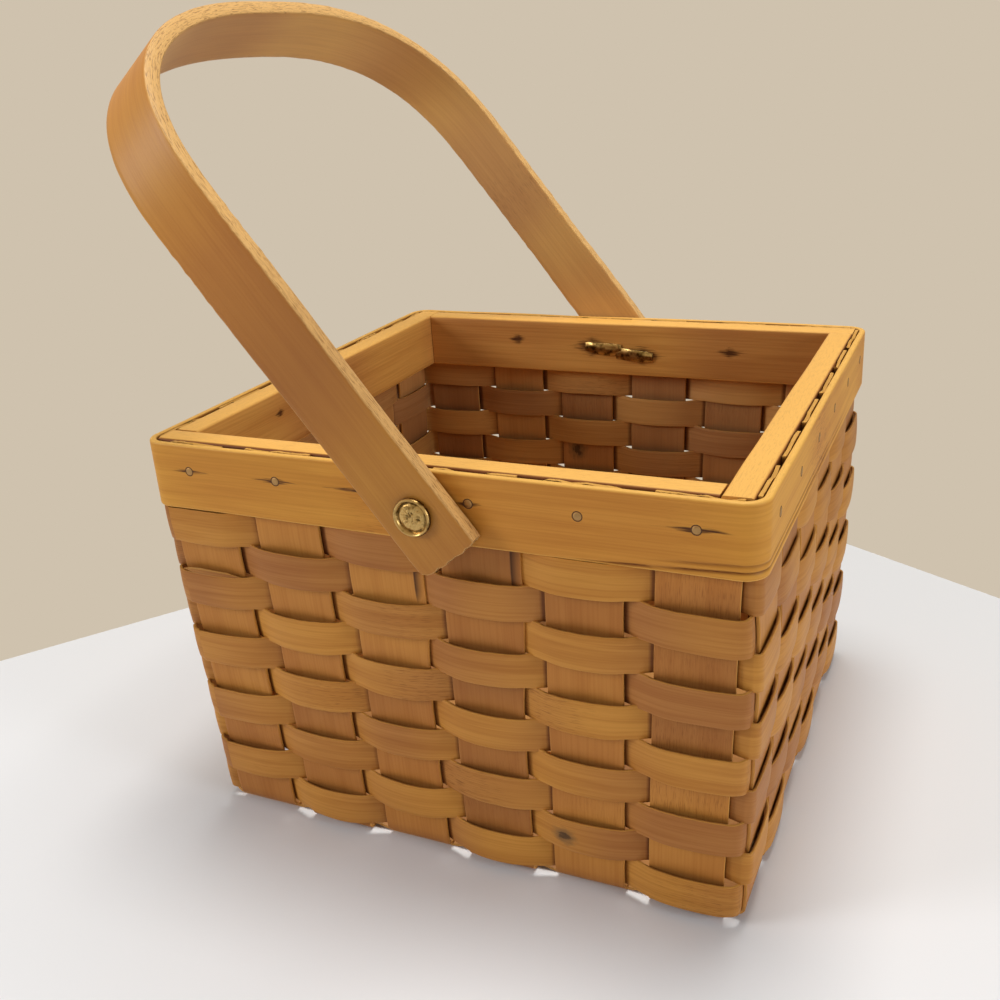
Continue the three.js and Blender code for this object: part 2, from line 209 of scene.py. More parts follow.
def tint_inside_for_shade(tree, wood, inside):
    """Painted shade tint: the inner faces are made paler, greyer and a little yellower, as they look in the
    basket's shade.
    """
    shade_tinted = {"Color": wood}
    for name, change, plain in (("Hue", 0.012, 0.5), ("Saturation", -0.12, 1.0), ("Value", 0.12, 1.0)):
        shade_tinted[name] = add_node(tree, "ShaderNodeMath", {0: inside, 1: change, 2: plain}, **SCALED)
    return add_node(tree, "ShaderNodeHueSaturation", shade_tinted)


def add_iron_stain(tree, wood, along, over):
    """Dark stain in the grain round a nail, drawn out to a point both ways along it."""
    height = add_node(tree, "ShaderNodeMath", {0: over}, operation="ABSOLUTE")
    reach = add_node(tree, "ShaderNodeMath", {0: along, 1: height}, operation="ADD")
    ragged = streaks(tree, 7, 0.5, 3.0, start=3.3)
    reach = add_node(tree, "ShaderNodeMath", {0: ragged, 1: 1.5, 2: reach}, **SCALED)
    near = add_node(tree, "ShaderNodeMath", {0: reach, 1: -1.5, 2: 2.7}, **CLAMPED)
    return add_node(tree, "ShaderNodeMix", {0: near, 6: wood, 7: "#532e10"}, 2, data_type="RGBA")


def stained_wood(name, light, mid, dark, edge, figure=6.0, grain=0.55, roughness=0.5, gloss=0.2, torn=0.2,
                 nailed=False, knotted=False, splitting=False):
    """Thin-cut pine with an amber stain and a thin satin varnish: an even golden tan with growth rings figure
    mm wide, paler cut edges with torn pores, and painted shade, with some grime, where strips cross and in
    slots. Real fibres are some hundredths of a millimetre wide, and here they are 0.8 mm, as coarse as they
    need to be to show."""
    material, tree, shader = new_material(name)
    marks = {mark: add_node(tree, "ShaderNodeAttribute", output="Fac", attribute_name=mark) for mark in MARKS}
    fibres = streaks(tree, 45, 0.8, 3.0, start=1.7)
    wood = cut_face(tree, marks["tone"], light, mid, dark, figure, grain, fibres)
    if knotted:
        wood = add_knot(tree, wood, marks["from_knot"])
    if splitting:
        wood = add_split_shade(tree, wood, marks["from_split"])
    # Painted shade tint on the inner faces
    wood = tint_inside_for_shade(tree, wood, marks["inside"])
    pits = streaks(tree, 4, 0.35, 3.0, 0.8, start=9.2)
    cut = add_node(tree, "ShaderNodeValToRGB", {0: pits}, stops=[(0.34, "#8a5a2c"), (0.48, edge)])
    cut = add_node(tree, "ShaderNodeMix", {0: torn, 6: edge, 7: cut}, 2, data_type="RGBA")
    wood = add_node(tree, "ShaderNodeMix", {0: marks["edge"], 6: wood, 7: cut}, 2, data_type="RGBA")
    # Painted shade, with some grime in the seams, multiplied in by its mark
    wood = add_node(tree, "ShaderNodeMix", {0: marks["dirt"], 6: wood, 7: "#6f4022"}, 2, data_type="RGBA",
                    blend_type="MULTIPLY")
    if nailed:
        wood = add_iron_stain(tree, wood, marks["along_stain"], marks["over_stain"])
    tree.links.new(wood, shader.inputs["Base Color"])
    shader.inputs["Roughness"].default_value = roughness
    shader.inputs["Specular IOR Level"].default_value = gloss
    deep = add_node(tree, "ShaderNodeMath", {0: pits, 1: 5.0 * torn}, operation="MULTIPLY")
    relief = add_node(tree, "ShaderNodeMath", {0: marks["edge"], 1: deep, 2: fibres}, **SCALED)
    bump = add_node(tree, "ShaderNodeBump", {"Height": relief, "Strength": 0.45, "Distance": 0.0001})
    tree.links.new(bump, shader.inputs["Normal"])
    return material


# Wide splint peeled from the log: a warm tan with broad, quiet rings, a little darker than the hoops as
# painted shade
STAKE_WOOD = stained_wood("stained pine stake", "#c4853c", "#ba7a39", "#a66b34", "#ecb254", figure=9,
                          grain=0.36, knotted=True, splitting=True)
# Narrow splint: a shade paler than the stakes, with finer rings that follow each bend
WEAVER_WOOD = stained_wood("stained pine weaver", "#c98c3c", "#bd813b", "#ae733a", "#d19a49", figure=5,
                           knotted=True)
# Planed strip, bent: the yellowest of the woods, with straight fine grain and dark points at its nails
BAND_WOOD = stained_wood("stained pine band", "#db9d3e", "#d29239", "#c98737", "#e6b055", figure=5,
                         grain=0.42, nailed=True)
# Sawn boards: yellow tan with wider rings, pale on the sawn edge and bruised dark round the metal
BOARD_WOOD = stained_wood("stained pine rim board", "#cf903d", "#c6863b", "#ba7a38", "#eab158", figure=8,
                          nailed=True)
# Thick strip bent in steam and sanded: quiet grain, a silkier varnish, and torn pores along its edges
HANDLE_WOOD = stained_wood("steam-bent pine handle", "#cf9038", "#c68535", "#bb7a33", "#dfae68", figure=9,
                           grain=0.3, roughness=0.45, gloss=0.3, torn=0.7)


def aged_brass(name, bright, dull, roughness):
    """Brass-plated steel, stamped and gone dull: yellow metal, soft highlights, and brown tarnish in its
    hollows and in clouds 2 to 3 mm wide. On the fastener's head the hollows' darkening is partly painted
    shade."""
    material, tree, shader = new_material(name)
    place = add_node(tree, "ShaderNodeTexCoord", output="Object")
    hollow = add_node(tree, "ShaderNodeAttribute", output="Fac", attribute_name="hollow")
    cloud = add_node(tree, "ShaderNodeTexNoise", {"Vector": place, "Scale": 420.0, "Detail": 4.0})
    cloud = add_node(tree, "ShaderNodeMath", {0: hollow, 1: -0.3, 2: cloud}, **SCALED)
    colour = add_node(tree, "ShaderNodeValToRGB", {0: cloud}, stops=[(0.2, dull), (0.45, bright)])
    tree.links.new(colour, shader.inputs["Base Color"])
    shader.inputs["Metallic"].default_value = 1.0
    shader.inputs["Roughness"].default_value = roughness
    return material


# Stamped plate: the yellower metal, still bright where it stands proud
FASTENER_BRASS = aged_brass("stamped brass plate", "#bd9b5f", "#543d1a", 0.28)
# Flat nail heads: the same metal, browner and duller
NAIL_BRASS = aged_brass("dull brass nail", "#a98657", "#826743", 0.5)


def plain_material(name, colour, roughness):
    material, _, shader = new_material(name)
    shader.inputs["Base Color"].default_value = linear(colour)
    shader.inputs["Roughness"].default_value = roughness
    return material


# Dark ring round a nail: grime and torn fibres pressed in, and painted shade of the gap round the head; a
# matt dark brown
GRIME_AND_GAP_SHADE = plain_material("dark grime and gap shade", "#523419", 0.9)


# Making of the pieces

def only(piece):
    """Leaves one object selected and active."""
    bpy.ops.object.select_all(action="DESELECT")
    piece.select_set(True)
    bpy.context.view_layer.objects.active = piece


def start_edit(piece):
    """Opens a piece for editing, with all of it selected."""
    only(piece)
    bpy.ops.object.mode_set(mode="EDIT")
    bpy.ops.mesh.select_all(action="SELECT")


def end_edit(smooth_under=0):
    """Turns all faces outward, ends editing and smooths the edges under an angle in degrees."""
    bpy.ops.mesh.select_all(action="SELECT")
    bpy.ops.mesh.normals_make_consistent(inside=False)
    bpy.ops.object.mode_set(mode="OBJECT")
    if smooth_under:
        bpy.ops.object.shade_smooth_by_angle(angle=math.radians(smooth_under))


def settle(piece, body, slot, *nodes):
    """Puts a finished piece in the frame, on its body and in place of its CAD nodes. Its slot is not used."""
    piece.data.transform(Matrix.Translation((BASKET_X * MM, 0, 0)))
    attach(piece, body)
    if nodes:
        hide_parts(*nodes)


def bent_strip(name, places, along, around, material, closed=False, shift=(0, 0), **marks):
    """Strip bent along a line: a grid primitive whose columns are the line's stations and whose rows go round
    the section. places[i, j] is point j of station i. along and around measure the grain, shift gives the
    strip a grain of its own, and marks are the material's values, one for each point."""
    def wrapped(values):
        values = np.concatenate([values, values[:1]]) if closed else values
        return np.concatenate([values, values[:, :1]], axis=1)
    shape = places.shape[:2]
    places = wrapped(places)
    stations, corners = places.shape[:2]
    bpy.ops.mesh.primitive_grid_add(x_subdivisions=stations - 1, y_subdivisions=corners - 1, size=1)
    piece = bpy.context.active_object
    piece.name = piece.data.name = name
    mesh = piece.data
    mesh.vertices.foreach_set("co", (places.transpose(1, 0, 2) * MM).reshape(-1))
    for mark_name, values in marks.items():
        spread = wrapped(np.broadcast_to(values, shape)).T.reshape(-1).astype(np.float32)
        mesh.attributes.new(mark_name, "FLOAT", "POINT").data.foreach_set("value", spread)
    corner_of = np.zeros(len(mesh.loops), int)
    mesh.loops.foreach_get("vertex_index", corner_of)
    column, row = corner_of % stations, corner_of // stations
    grain = np.stack([along[column] + shift[0], around[row] + shift[1]], -1)
    layer = mesh.uv_layers[0]
    layer.name = "grain"
    layer.data.foreach_set("uv", grain.reshape(-1))
    mesh.materials.append(material)
    start_edit(piece)
    bpy.ops.mesh.remove_doubles(threshold=0.002 * MM)
    if not closed:
        bpy.ops.mesh.select_all(action="DESELECT")
        bpy.ops.mesh.select_mode(type="EDGE")
        bpy.ops.mesh.select_non_manifold()
        bpy.ops.mesh.fill_holes(sides=0)
    end_edit(smooth_under=50)
    return piece


def strip_section(width, thickness, ease, across=6, arc=2):
    """Outline of a strip's section with eased corners, as (across, out, distance round) arrays."""
    points = []
    for middle_across, middle_out, start in ((1, 1, 0), (-1, 1, 90), (-1, -1, 180), (1, -1, 270)):
        for step in range(arc + 1):
            angle = math.radians(start + 90 * step / arc)
            points.append((middle_across * (width / 2 - ease) + ease * math.cos(angle),
                           middle_out * (thickness / 2 - ease) + ease * math.sin(angle)))
        flat = points[-1]
        if start in (0, 180):
            for step in range(1, across):
                points.append((flat[0] * (1 - 2 * (step / across)), flat[1]))
    points = np.array(points)
    gaps = np.linalg.norm(np.diff(np.concatenate([points, points[:1]]), axis=0), axis=1)
    return points[:, 0], points[:, 1], np.concatenate([[0], np.cumsum(gaps)])


def distances(line):
    """Distance along an open line from its start to each point."""
    return np.concatenate([[0], np.cumsum(np.linalg.norm(np.diff(line, axis=0), axis=1))])


def normals(line, closed=False):
    """Unit normals of a flat line, to the right of its way."""
    if closed:
        way = np.roll(line, -1, axis=0) - np.roll(line, 1, axis=0)
    else:
        way = np.gradient(line, axis=0)
    way /= np.linalg.norm(way, axis=1)[:, None]
    return np.stack([way[:, 1], -way[:, 0]], -1)


# Marks that the woods read

UNMARKED = 9


def edge_mark(across, width, ease):
    """1 on a strip's narrow edges, where the knife or saw has left paler wood, and 0 on its faces."""
    return np.clip((np.abs(across) - (width / 2 - ease)) / ease, 0, 1)[None, :]


def slot_shade_mark(out, thickness, ease):
    """1 on the side of a rim strip that faces the stakes and on its soft corners: painted shade of the slot
    there.
    """
    return np.clip((out - (thickness / 2 - ease)) / (0.6 * ease), 0, 1)[None, :]


def knot_mark(places, shown, x, z, half_length, half_height):
    """Distance from a knot's middle in half lengths and half heights of the knot, where the knot is shown."""
    reach = np.hypot((places[..., 0] - x) / half_length, (places[..., 2] - z) / half_height)
    return np.where(shown, reach, UNMARKED)


# Half lengths along the grain of the stains round the band's nails, in each wall from its left end
NAIL_STAIN_LENGTHS = {"front": (7, 9, 18, 5, 1, 13), "right": (2, 1, 3, 2, 1, 4), "back": (6, 2, 8, 3, 5, 4),
                      "left": (3, 7, 2, 5, 2, 6)}
NAIL_STAIN_HEIGHT = 1.1
# Dark pocks where nails come through the boards, and dark bruises round the fasteners' legs: each with its
# place, its half length along the grain and its half height
BOARD_STAINS = {
    "front": [(40.0, -88.8, 143.0, 3.0, 2.0)],
    "right": [(95.0, 20.0, 143.5, 3.5, 1.8)],
    "back": [(-48.0, 88.8, 144.4, 4.5, 2.8), (-11.0, 88.8, 142.4, 10.0, 5.0), (13.0, 88.8, 139.6, 10.0, 4.6),
             (52.8, 88.8, 142.7, 6.5, 2.4)],
    "left": [(-95.0, -40.0, 145.0, 3.5, 2.0)]}


def nail_stains():
    """Place, half length and half height of the stain round each of the band's nails."""
    stains = []
    for name in WALL_NAMES:
        for number, length in enumerate(NAIL_STAIN_LENGTHS[name], start=1):
            low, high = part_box(f"nail_{name}_{number}")
            middle = (low + high) / 2 / MM
            stains.append((middle.x - BASKET_X, middle.y, middle.z, length, NAIL_STAIN_HEIGHT))
    return stains


def stain_marks(line, z, stains):
    """Where a rim strip's points lie from the nearest stain, in half lengths and half heights of it."""
    places = np.array([stain[:2] for stain in stains])
    gaps = np.linalg.norm(line[:, None, :2] - places[None], axis=-1)
    nearest = gaps.argmin(axis=1)
    aside = gaps.min(axis=0)[nearest]
    along = np.sqrt(np.maximum(gaps.min(axis=1) ** 2 - aside ** 2, 0))
    level, length, height = np.array([stain[2:] for stain in stains])[nearest].T
    return {"along_stain": (along / length)[:, None], "over_stain": (z - level[:, None]) / height[:, None]}


# Weavers: ten hoops of 12 mm splint, over one stake and under the next, counted from the rim down

ROWS = 10
ROW_BOXES = [[corner.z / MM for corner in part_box(f"weaver_row_{row:02d}")] for row in range(1, ROWS + 1)]
ROW_PITCH = ROW_BOXES[0][0] - ROW_BOXES[1][0]
WEAVER_THICKNESS = 1.0
WEAVER_EASE = 0.14
WEAVER_CUP = 0.22
SAMPLES_PER_STAKE = 32
BOW = (3.0, 1.9)
UNEVEN_BOW = 0.6
FLAT_TOP = (1.0, 1.9)
HOOP_INSET = 0.9
# A bend round a corner gets the painted shade of a point this far past a stake's edge
BEND_PAST = 2.1
# How pale each hoop is, from -1 to 1
# The lowest hoop is palest partly as painted light, for the light that the pale table throws up onto it
HOOP_TONES = (0.2, -0.8, 0.4, 0.5, 0.5, 1.0, -0.4, -0.4, -0.2, 1.0)
KNOTTED_HOOP = 9
HOOP_KNOT = {"x": 42.2, "z": 22.5, "half_length": 4.4, "half_height": 3.5}


def side_of(row, upright):
    """1 where a hoop passes outside an upright, -1 where it passes inside."""
    return 1 if (row + upright) % 2 == 1 else -1


def hoop_wall(row, wall, z):
    """Line of a hoop along one wall at height z, seen from above, with its wave, 1 outside a stake and -1
    inside, and how far each point is past the nearest stake's edge. Outside the last stake it stays out."""
    pitch, flat_top = PITCH[wall % 2], FLAT_TOP[wall % 2]
    overhang = STAKE_WIDTH / 2 / pitch
    samples = round((LAST_STAKE + 2 * overhang) * SAMPLES_PER_STAKE)
    position = np.linspace(-overhang, LAST_STAKE + overhang, samples)
    first = wall * STAKE_COUNT
    wave = side_of(row, first) * np.tanh(flat_top * np.cos(math.pi * position)) / math.tanh(flat_top)
    beyond = np.maximum(-position, position - LAST_STAKE)
    wave = np.where((beyond > 0) & (wave > 0), 1 - 1.6 * beyond ** 2, wave)
    bows = BOW[wall % 2] + ripple(np.arange(first, first + STAKE_COUNT) * 3.7, row, UNEVEN_BOW)
    out = stake_plane(wall, z) + np.interp(position, range(STAKE_COUNT), bows) * wave
    out = np.minimum(out, RIM_HALF[wall % 2] - HOOP_INSET)
    line = np.stack([stake_place(wall, position, z), -out, np.zeros_like(out)], -1)
    nearest = np.clip(np.round(position), 0, LAST_STAKE)
    past = (np.abs(position - nearest) - overhang) * pitch
    return turned(line, wall)[:, :2], wave, past


def corner_bend(before, after, steps=12, sharpness=0.72):
    """Bend from one wall's line to the next, drawn towards the point where they would meet."""
    start, end = before[-1], after[0]
    way_out = (before[-1] - before[-2]) / np.linalg.norm(before[-1] - before[-2])
    way_in = (after[1] - after[0]) / np.linalg.norm(after[1] - after[0])
    reach = np.clip(np.linalg.solve(np.stack([way_out, way_in], 1), end - start), 1.5, 9) * sharpness
    lead = start + way_out * reach[0]
    trail = end - way_in * reach[1]
    t = np.linspace(0, 1, steps + 2)[1:-1, None]
    return (1 - t) ** 3 * start + 3 * t * (1 - t) ** 2 * lead + 3 * t * t * (1 - t) * trail + t ** 3 * end


def hoop_line(row, z):
    """Closed line of a hoop at height z, with its wave and how far each point is past a stake's edge."""
    walls = [hoop_wall(row, wall, z) for wall in range(4)]
    line, wave, past = [], [], []
    for here, following in zip(walls, walls[1:] + walls[:1]):
        bend = corner_bend(here[0], following[0])
        line += [here[0], bend]
        wave += [here[1], np.linspace(here[1][-1], following[1][0], len(bend) + 2)[1:-1]]
        past += [here[2], np.full(len(bend), BEND_PAST)]
    return np.concatenate(line), np.concatenate(wave), np.concatenate(past)


def hoop_edges(row, along, wave):
    """How far a hoop's upper and lower edges are moved up. Both are uneven, the lower one hangs where the
    hoop bows out over a stake, and the hoop is pressed wider where it crosses from outside to inside."""
    crossing = 1 - smooth_step(np.abs(wave) / 0.55)
    sway = ripple(along / 38, row + 80, 0.7)
    upper = sway + ripple(along / 17, row + 20, 0.3) + ripple(along / 2.3, row + 60, 0.12) + 0.4 * crossing
    lower = sway + ripple(along / 14, row + 40, 0.3) - 0.75 * smooth_step(wave) - 0.4 * crossing
    return upper[:, None], lower[:, None]


def weaver(row):
    """Hoop of one row: a closed strip, slightly cupped, with painted shade on the face that turns in behind a
    stake's edge.
    """
    bottom, top = ROW_BOXES[row - 1]
    width = top - bottom
    upper, wave, past = hoop_line(row, top)
    lower = hoop_line(row, bottom)[0]
    along = distances(upper)
    lap = np.linalg.norm(upper[0] - upper[-1])
    across, out, around = strip_section(width, WEAVER_THICKNESS, WEAVER_EASE, across=8)
    share = (across / width + 0.5)[None, :]
    middle = lower[:, None] * (1 - share)[..., None] + upper[:, None] * share[..., None]
    facing = normals((upper + lower) / 2, closed=True)
    cupped = out + WEAVER_CUP * (1 - (2 * across / width) ** 2)
    flat = middle + facing[:, None] * cupped[None, :, None]
    edge = np.where(across[None, :] > 0, *hoop_edges(row, along, wave))
    z = bottom + width * share + edge * np.abs(2 * across / width)[None, :]
    places = np.concatenate([flat, z[..., None]], -1)
    # Painted shade: the face that turns in behind a stake is darkened near the stake's edge, in the narrow
    # slot beside it
    hidden_shade = 0.75 * smooth_step((2.3 - past) / 0.9)[:, None] * (wave[:, None] * out[None, :] < 0)
    knotted = (row == KNOTTED_HOOP) & (middle[..., 1] < -80) & (out > 0)[None, :]
    piece = bent_strip(
        f"hoop_{row:02d}", places, np.append(along, along[-1] + lap), around, WEAVER_WOOD, closed=True,
        shift=(row * 731, row * 57), dirt=hidden_shade, edge=0.8 * edge_mark(across, width, WEAVER_EASE),
        # inside: a painted shade tint on the inner faces
        inside=0.65 * (out < 0)[None, :], tone=HOOP_TONES[row - 1],
        from_knot=knot_mark(places, knotted, **HOOP_KNOT))
    settle(piece, "basket", "weaver_wood", f"weaver_row_{row:02d}")


SLIVER_ROW = 3
SLIVER_LEFT, SLIVER_RIGHT = -101, -74
SLIVER_WIDTH = 2.0
SLIVER_THICKNESS = 0.5


def sliver():
    """Sliver split off a hoop's upper edge, at the left end of the front. It stands up behind the hoop's
    outer face, with its left end free."""
    hoop_top = ROW_BOXES[SLIVER_ROW - 1][1]
    line = hoop_wall(SLIVER_ROW, 0, hoop_top)[0]
    line = line[(line[:, 0] > SLIVER_LEFT) & (line[:, 0] < SLIVER_RIGHT)]
    t = np.linspace(0, 1, len(line))
    across, out, around = strip_section(SLIVER_WIDTH, SLIVER_THICKNESS, 0.12, across=3, arc=1)
    top = np.interp(t, (0, 0.12, 0.3, 0.75, 1), (0.7, 1.5, 1.9, 1.4, -0.4))
    foot = np.interp(t, (0, 0.12, 0.3), (0.5, -0.2, -0.6))
    thinning = np.interp(t, (0, 0.2), (0.4, 1))
    reach = out[None, :] * thinning[:, None] + 0.3 * (1 - t)[:, None]
    flat = line[:, None] + normals(line)[:, None] * reach[..., None]
    z = hoop_top + (top + foot)[:, None] / 2 + across[None, :] / SLIVER_WIDTH * (top - foot)[:, None]
    places = np.concatenate([flat, z[..., None]], -1)
    # The sliver's face is a little darker: painted shade, as it stands in behind the hoop's edge
    piece = bent_strip("lifted_sliver", places, distances(line), around, WEAVER_WOOD,
                       edge=0.8 * (across[None, :] > 0.8), dirt=0.2, from_knot=UNMARKED)
    settle(piece, "basket", "weaver_wood")


# Stakes: one splint from rim to rim, down one wall, under the basket and up the other

STAKE_EASE = 0.2
LOW_LEVEL = STAKE_THICKNESS / 2
HIGH_LEVEL = LOW_LEVEL + STAKE_THICKNESS + SEAT_GAP
FOLD_RADIUS = 2.8
# How pale each stake is, from -1 to 1: those from front to back, and those from side to side
STAKE_TONES = ((-0.2, 0.5, 0.1, -1.0, 0.2, -0.3), (0.3, -0.7, 0.6, -0.2, 0.8, -0.9))
# Two front stakes have split with the grain, at this distance from their middles and this far apart
SPLIT_STAKES = (3, 4)
SPLIT_ACROSS = 11.9
SPLIT_GAP = 2.6
KNOTTED_STAKE = 3
STAKE_KNOT = {"x": -22.9, "z": 88.5, "half_length": 4.6, "half_height": 5.2}


def crossing_levels(kind, index):
    """Heights at which a stake crosses the others in the base, in the order that it meets them."""
    crossed = range(STAKE_COUNT) if kind == 0 else reversed(range(STAKE_COUNT))
    return [LOW_LEVEL if (index + other + kind) % 2 == 1 else HIGH_LEVEL for other in crossed]


def base_line(kind, levels):
    """Stretch of a stake under the basket, over and under the crossed stakes."""
    end = stake_plane(kind, 0) - FOLD_RADIUS
    crossings = stake_place(kind + 1, np.arange(STAKE_COUNT), 0)
    y = np.linspace(-end, end, 80)
    z = np.full_like(y, levels[0])
    rest = STAKE_WIDTH / 2
    for before, after, left, right in zip(levels, levels[1:], crossings, crossings[1:]):
        z += (after - before) * smooth_step((y - left - rest) / (right - left - 2 * rest))
    return np.stack([y, z], -1)


def wall_line(kind, level, upright):
    """Stretch of a stake from the rim to the fold: the hoops press it in and out a little."""
    z = np.linspace(BASKET_HEIGHT, level + FOLD_RADIUS, 62)
    first_row = sum(ROW_BOXES[0]) / 2
    in_weave = smooth_step((BAND_BOTTOM - z) / 8) * smooth_step(z / 10)
    press = -0.22 * side_of(1, upright) * np.cos(math.pi * (first_row - z) / ROW_PITCH) * in_weave
    return np.stack([stake_plane(kind, z) + press, z], -1)


def fold(level, out):
    """Round fold from the wall into the base."""
    angle = np.linspace(0, math.pi / 2, 7)[1:-1]
    return np.stack([out - FOLD_RADIUS + FOLD_RADIUS * np.cos(angle),
                     level + FOLD_RADIUS - FOLD_RADIUS * np.sin(angle)], -1)


def stake_line(kind, index):
    """Whole line of a stake, seen from the side: down one wall, under the basket and up the other."""
    levels = crossing_levels(kind, index)
    uprights = (kind * STAKE_COUNT + index, (kind + 2) * STAKE_COUNT + LAST_STAKE - index)
    ends = []
    for level, upright in zip((levels[0], levels[-1]), uprights):
        wall = wall_line(kind, level, upright)
        ends.append(np.concatenate([wall, fold(level, wall[-1][0])]))
    near = ends[0] * (-1, 1)
    return np.concatenate([near, base_line(kind, levels), ends[1][::-1]])


def parted_sliver(line, across, out):
    """Sliver along a front stake's right edge, parted from it towards the rim: how far it has moved aside,
    and each point's distance from the split."""
    parted = (SPLIT_GAP * smooth_step(-line[:, 0] / 20) * smooth_step((line[:, 1] - 60) / 50))[:, None]
    aside = parted * smooth_step((across - (SPLIT_ACROSS - 0.5)) / 1.2)
    outer_face = out < -STAKE_THICKNESS / 4
    from_split = np.where(outer_face, np.abs(across - SPLIT_ACROSS), UNMARKED) + 3 * (SPLIT_GAP - parted)
    return aside, from_split


def broken_end(across, seed):
    """How much has broken off a stake's end across its width."""
    steps = np.clip(0.3 + ripple(across / 7, seed, 2.4), 0.1, 1.5)
    return steps + np.abs(ripple(across / 1.5, seed + 2, 0.5))


def stake_dirt(z):
    """Painted shade, with some grime, along the seams between the hoops, and darker painted shade where
    the rim's slot hides the stake and at its ends.
    """
    seam = np.abs(np.sin(math.pi * (ROW_BOXES[0][1] - z) / ROW_PITCH))
    dirt = np.where(z < BAND_BOTTOM, 0.4 * np.clip(0.5 - seam, 0, 1), 0.8)
    dirt[[0, -1]] = 0.25
    return dirt[:, None]


def stake(kind, number):
    """Stake of one set, 0 from front to back and 1 from side to side, with uneven edges and broken ends."""
    line = stake_line(kind, number - 1)
    across, out, around = strip_section(STAKE_WIDTH, STAKE_THICKNESS, STAKE_EASE, across=30)
    along = distances(line)
    middle = stake_place(kind, np.full(len(line), number - 1.0), line[:, 1])
    uneven = [ripple(along / 30, number + kind * 10 + side * 5, 0.3)[:, None] for side in (0, 1)]
    x = middle[:, None] + across[None, :] + np.where(across > 0, *uneven) * np.abs(across / across.max())
    from_split = UNMARKED
    if kind == 0 and number in SPLIT_STAKES:
        aside, from_split = parted_sliver(line, across, out)
        x += aside
    flat = line[:, None] - normals(line)[:, None] * out[None, :, None]
    places = np.concatenate([x[..., None], flat], -1)
    for end in (0, -1):
        places[end, :, 2] -= broken_end(across, 90 + number * 4 + kind * 30 + end)
    knotted = (kind == 0 and number == KNOTTED_STAKE) & (places[..., 1] > 80) & (out > 0)[None, :]
    end_grain = (line[:, 1] > BASKET_HEIGHT - 0.5)[:, None]
    name = ("front_to_back_splint", "side_to_side_splint")[kind]
    piece = bent_strip(
        f"{name}_{number}", turned(places, kind), along, around, STAKE_WOOD,
        # Painted shade in the seams between the hoops and in the rim's slot
        shift=(number * 977 + kind * 5300, number * 83 + kind * 611), dirt=stake_dirt(line[:, 1]),
        edge=np.maximum(0.4 * edge_mark(across, STAKE_WIDTH, STAKE_EASE), end_grain),
        # inside: a painted shade tint on the inner faces
        inside=0.65 * (out > 0)[None, :], from_split=from_split, tone=STAKE_TONES[kind][number - 1],
        from_knot=knot_mark(places, knotted, **STAKE_KNOT))
    node = ("front_back_stake", "side_to_side_stake")[kind]
    settle(piece, "basket", "stake_wood", f"{node}_{number}")


# Rim: a bent band outside and four boards inside, each butted against the next

BAND_CORNER = 7.8
BAND_EASE = 0.8
BOARD_EASE = 0.9
# How pale the band is, from -1 to 1, at distances along it from the front's left end
# On the front, the pale left end and darker middle are partly painted light: the light falls off across it
BAND_TONES = ((0, 60, 120, 190, 230, 430, 860), (0.9, 0.6, -0.9, -0.7, 0.9, 0.3, 0.9))
SPLIT_DEPTH = 0.6
SPLIT_SPREAD = 0.4


def rounded_rectangle(half_x, half_y, radius, step):
    """Closed line round a rectangle with round corners of 10 steps, from the front wall's left end."""
    line = []
    for wall, (centre_x, centre_y) in enumerate(((-1, -1), (1, -1), (1, 1), (-1, 1))):
        start = math.pi * (1 + wall / 2)
        middle = np.array([centre_x * (half_x - radius), centre_y * (half_y - radius)])
        for angle in np.linspace(start, start + math.pi / 2, 11):
            line.append(middle + radius * np.array([math.cos(angle), math.sin(angle)]))
    dense = []
    for here, there in zip(line, line[1:] + line[:1]):
        pieces = max(1, round(np.linalg.norm(there - here) / step))
        dense += [here + (there - here) * i / pieces for i in range(pieces)]
    return np.array(dense)


def band_splits(line, along, above_bottom, outer_face):
    """How open the band's two splits are at each point. They run near its lower edge, at the right end of the
    front and round the corner."""
    level = np.interp(line[:, 0], (42, 100), (-0.2, 2.5)) + ripple(along / 18, 62, 0.3)
    above_split = above_bottom[None, :] - level[:, None]
    first = np.exp(-(above_split / SPLIT_SPREAD) ** 2)
    second = smooth_step((line[:, 0] - 70) / 20)[:, None] * np.exp(-((above_split - 2.2) / SPLIT_SPREAD) ** 2)
    strength = smooth_step((line[:, 0] - 40) / 8) * smooth_step((60 - line[:, 1]) / 60)
    strength = strength * np.clip(1 + ripple(along / 6, 63, 0.8), 0.35, 1)
    return (first + 0.6 * second) * outer_face * strength[:, None]


def rim_band():
    """Bent band with soft edges, a slight wave and two splits."""
    half = BAND_THICKNESS / 2
    line = rounded_rectangle(RIM_HALF[1] - half, RIM_HALF[0] - half, BAND_CORNER - half, 3.0)
    along = distances(line)
    lap = np.linalg.norm(line[0] - line[-1])
    height = BASKET_HEIGHT - BAND_BOTTOM
    across, out, around = strip_section(height, BAND_THICKNESS, BAND_EASE, across=60, arc=3)
    split = band_splits(line, along, across + height / 2, out > half - 0.01)
    reach = out[None, :] - SPLIT_DEPTH * split
    flat = line[:, None] + normals(line, closed=True)[:, None] * reach[..., None]
    wave = ripple(along / 40, 61, 0.3)[:, None] * (across[None, :] / across.max())
    z = (BASKET_HEIGHT + BAND_BOTTOM) / 2 + across[None, :] + wave
    places = np.concatenate([flat, z[..., None]], -1)
    piece = bent_strip(
        "bent_rim_band", places, np.append(along, along[-1] + lap), around, BAND_WOOD, closed=True,
        edge=edge_mark(across, height, BAND_EASE), tone=np.interp(along, *BAND_TONES)[:, None],
        # Painted shade in the two splits and on the inner face, in the slot behind the band
        dirt=np.maximum(split, 0.6 * slot_shade_mark(-out, BAND_THICKNESS, 0.3)),
        **stain_marks(line, z, nail_stains()))
    settle(piece, "basket", "band_wood", "rim_band")


